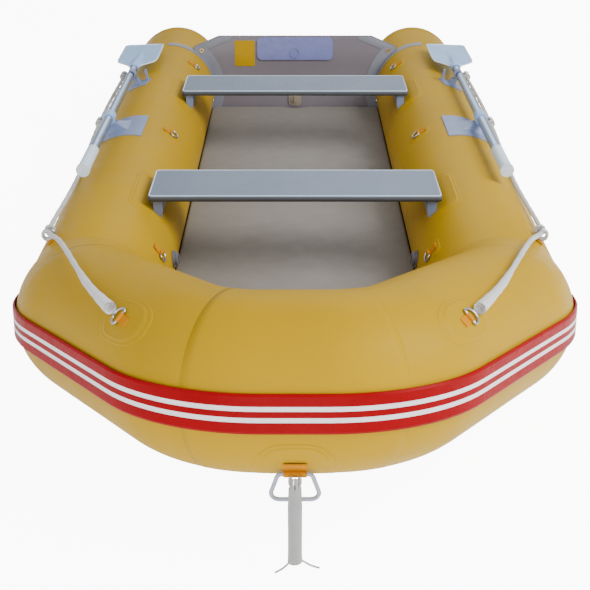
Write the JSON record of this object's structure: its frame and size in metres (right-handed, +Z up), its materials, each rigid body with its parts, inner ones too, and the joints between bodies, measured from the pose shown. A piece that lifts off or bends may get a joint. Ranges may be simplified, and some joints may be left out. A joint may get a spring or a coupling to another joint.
{
  "type": "inflatable dinghy",
  "caption": "Inflatable boat with raked bow tube, stern transom, air deck floor, bench seats, stowed oars, grab lines and a bow tow handle.",
  "frame": {"origin": "on the floor below the middle of the boat's bounding box", "axes": "+Z up, bow towards -Y, stern towards +Y, port side towards +X"},
  "size_m": [1.568, 3.3863, 0.5767],
  "materials": {
    "pvc_yellow": "semi-gloss coated fabric",
    "tab_orange": "semi-gloss welded strap",
    "strake_red": "satin moulded rubber",
    "stripe_white": "satin inlaid stripe",
    "deck_taupe": "ribbed non-slip deck fabric",
    "bottom_grey": "coated fabric",
    "transom_grey": "coated plywood",
    "holder_grey": "matt moulded rubber",
    "motor_plate_blue": "satin moulded plate",
    "fitting_beige": "moulded fitting",
    "eyelet_brass": "polished eyelet",
    "bench_blue_grey": "satin coated board",
    "fitting_grey": "satin moulded fitting",
    "ring_steel": "polished stainless wire",
    "handle_grey": "moulded handle",
    "rope_white": "braided white rope",
    "valve_grey": "moulded valve",
    "oar_plastic": "moulded plastic",
    "grip_white": "soft moulded grip",
    "oar_alloy": "anodised tube",
    "button_steel": "polished pin"
  },
  "bodies": {
    "hull": {"hull_bow_centre": "pvc_yellow", "hull_bow_port": "pvc_yellow", "hull_bow_starboard": "pvc_yellow", "hull_side_port": "pvc_yellow", "hull_side_starboard": "pvc_yellow", "hull_cone_port": "pvc_yellow", "hull_cone_starboard": "pvc_yellow", "hull_patches": "pvc_yellow", "ring_tabs": "tab_orange", "tow_tab": "tab_orange", "rub_strake": "strake_red", "strake_stripes": "stripe_white", "air_deck": "deck_taupe", "bottom_skin": "bottom_grey", "keel_tube": "bottom_grey", "transom_board": "transom_grey", "transom_holder_port": "holder_grey", "transom_holder_starboard": "holder_grey", "motor_plate_inner": "motor_plate_blue", "motor_plate_outer": "motor_plate_blue", "drain_fitting": "fitting_beige", "transom_eyelets": "eyelet_brass", "seat_holders": "fitting_grey", "oarlock_base_port": "fitting_grey", "oarlock_base_starboard": "fitting_grey", "oar_clip_port": "fitting_grey", "oar_clip_starboard": "fitting_grey", "outer_rings": "ring_steel", "grab_line_port": "rope_white", "grab_line_starboard": "rope_white", "bow_line_hank": "rope_white", "bow_line_tails": "rope_white", "valve_seats": "valve_grey"},
    "oar_port": {"oar_blade_port": "oar_plastic", "oar_collar_port": "oar_plastic", "oar_grip_port": "grip_white", "oar_lower_shaft_port": "oar_alloy", "oar_upper_shaft_port": "oar_alloy"},
    "oar_starboard": {"oar_blade_starboard": "oar_plastic", "oar_collar_starboard": "oar_plastic", "oar_grip_starboard": "grip_white", "oar_lower_shaft_starboard": "oar_alloy", "oar_upper_shaft_starboard": "oar_alloy"},
    "drain_plug": {"drain_plug": "fitting_beige"},
    "bench_front": {"bench_front": "bench_blue_grey"},
    "bench_rear": {"bench_rear": "bench_blue_grey"},
    "inner_ring_port_aft": {"inner_ring_port_aft": "ring_steel"},
    "inner_ring_port_mid": {"inner_ring_port_mid": "ring_steel"},
    "inner_ring_port_front": {"inner_ring_port_front": "ring_steel"},
    "inner_ring_starboard_aft": {"inner_ring_starboard_aft": "ring_steel"},
    "inner_ring_starboard_mid": {"inner_ring_starboard_mid": "ring_steel"},
    "inner_ring_starboard_front": {"inner_ring_starboard_front": "ring_steel"},
    "tow_handle": {"tow_handle": "handle_grey"},
    "valve_cap_port": {"valve_cap_port": "valve_grey"},
    "valve_cap_starboard": {"valve_cap_starboard": "valve_grey"},
    "valve_cap_bow": {"valve_cap_bow": "valve_grey"},
    "valve_cap_deck": {"valve_cap_deck": "valve_grey"},
    "oar_button_port": {"oar_button_port": "button_steel"},
    "oar_button_starboard": {"oar_button_starboard": "button_steel"}
  },
  "joints": [
    {"name": "oar_port_swing", "type": "hinge", "parent": "hull", "child": "oar_port", "pos_m": [0.65192, 0.085, 0.38544], "axis": [-0.3746, 0, -0.9272], "range_deg": [0, 130]},
    {"name": "oar_port_button_press", "type": "slide", "parent": "oar_port", "child": "oar_button_port", "axis": [-0.3746, 0, -0.9272], "range_m": [0, 0.005], "stiffness_N_per_m": 1500},
    {"name": "oar_starboard_swing", "type": "hinge", "parent": "hull", "child": "oar_starboard", "pos_m": [-0.65192, 0.085, 0.38544], "axis": [-0.3746, 0, 0.9272], "range_deg": [0, 130]},
    {"name": "oar_starboard_button_press", "type": "slide", "parent": "oar_starboard", "child": "oar_button_starboard", "axis": [0.3746, 0, -0.9272], "range_m": [0, 0.005], "stiffness_N_per_m": 1500},
    {"name": "bench_front_slide", "type": "slide", "parent": "hull", "child": "bench_front", "axis": [0, 1, 0], "range_m": [-0.04, 0.04]},
    {"name": "bench_rear_slide", "type": "slide", "parent": "hull", "child": "bench_rear", "axis": [0, 1, 0], "range_m": [-0.04, 0.04]},
    {"name": "tow_handle_swing", "type": "hinge", "parent": "hull", "child": "tow_handle", "pos_m": [0, -1.65733, 0.25727], "axis": [1, 0, 0], "range_deg": [0, 38]},
    {"name": "inner_ring_port_aft_swing", "type": "hinge", "parent": "hull", "child": "inner_ring_port_aft", "pos_m": [0.44673, 0.978, 0.36087], "axis": [0, 1, 0], "range_deg": [0, 150]},
    {"name": "inner_ring_port_mid_swing", "type": "hinge", "parent": "hull", "child": "inner_ring_port_mid", "pos_m": [0.45242, 0.112, 0.36532], "axis": [0, 1, 0], "range_deg": [0, 150]},
    {"name": "inner_ring_port_front_swing", "type": "hinge", "parent": "hull", "child": "inner_ring_port_front", "pos_m": [0.39423, -0.718, 0.29718], "axis": [0, 1, 0], "range_deg": [0, 150]},
    {"name": "inner_ring_starboard_aft_swing", "type": "hinge", "parent": "hull", "child": "inner_ring_starboard_aft", "pos_m": [-0.44673, 0.978, 0.36087], "axis": [0, -1, 0], "range_deg": [0, 150]},
    {"name": "inner_ring_starboard_mid_swing", "type": "hinge", "parent": "hull", "child": "inner_ring_starboard_mid", "pos_m": [-0.45242, 0.112, 0.36532], "axis": [0, -1, 0], "range_deg": [0, 150]},
    {"name": "inner_ring_starboard_front_swing", "type": "hinge", "parent": "hull", "child": "inner_ring_starboard_front", "pos_m": [-0.39423, -0.718, 0.29718], "axis": [0, -1, 0], "range_deg": [0, 150]},
    {"name": "drain_plug_pull", "type": "slide", "parent": "hull", "child": "drain_plug", "axis": [0, -0.9848, 0.1736], "range_m": [0, 0.03]},
    {"name": "valve_cap_port_turn", "type": "hinge", "parent": "hull", "child": "valve_cap_port", "pos_m": [0.37749, -0.6, 0.21395], "axis": [-0.9976, 0, 0.0698], "range_deg": [0, 90]},
    {"name": "valve_cap_starboard_turn", "type": "hinge", "parent": "hull", "child": "valve_cap_starboard", "pos_m": [-0.37749, -0.6, 0.21395], "axis": [0.9976, 0, 0.0698], "range_deg": [0, 90]},
    {"name": "valve_cap_deck_turn", "type": "hinge", "parent": "hull", "child": "valve_cap_deck", "pos_m": [0, -0.87, 0.12], "axis": [0, 0, 1], "range_deg": [0, 90]},
    {"name": "valve_cap_bow_turn", "type": "hinge", "parent": "hull", "child": "valve_cap_bow", "pos_m": [0, -1.28897, 0.33009], "axis": [0, 0.9724, -0.2334], "range_deg": [0, 90]}
  ]
}
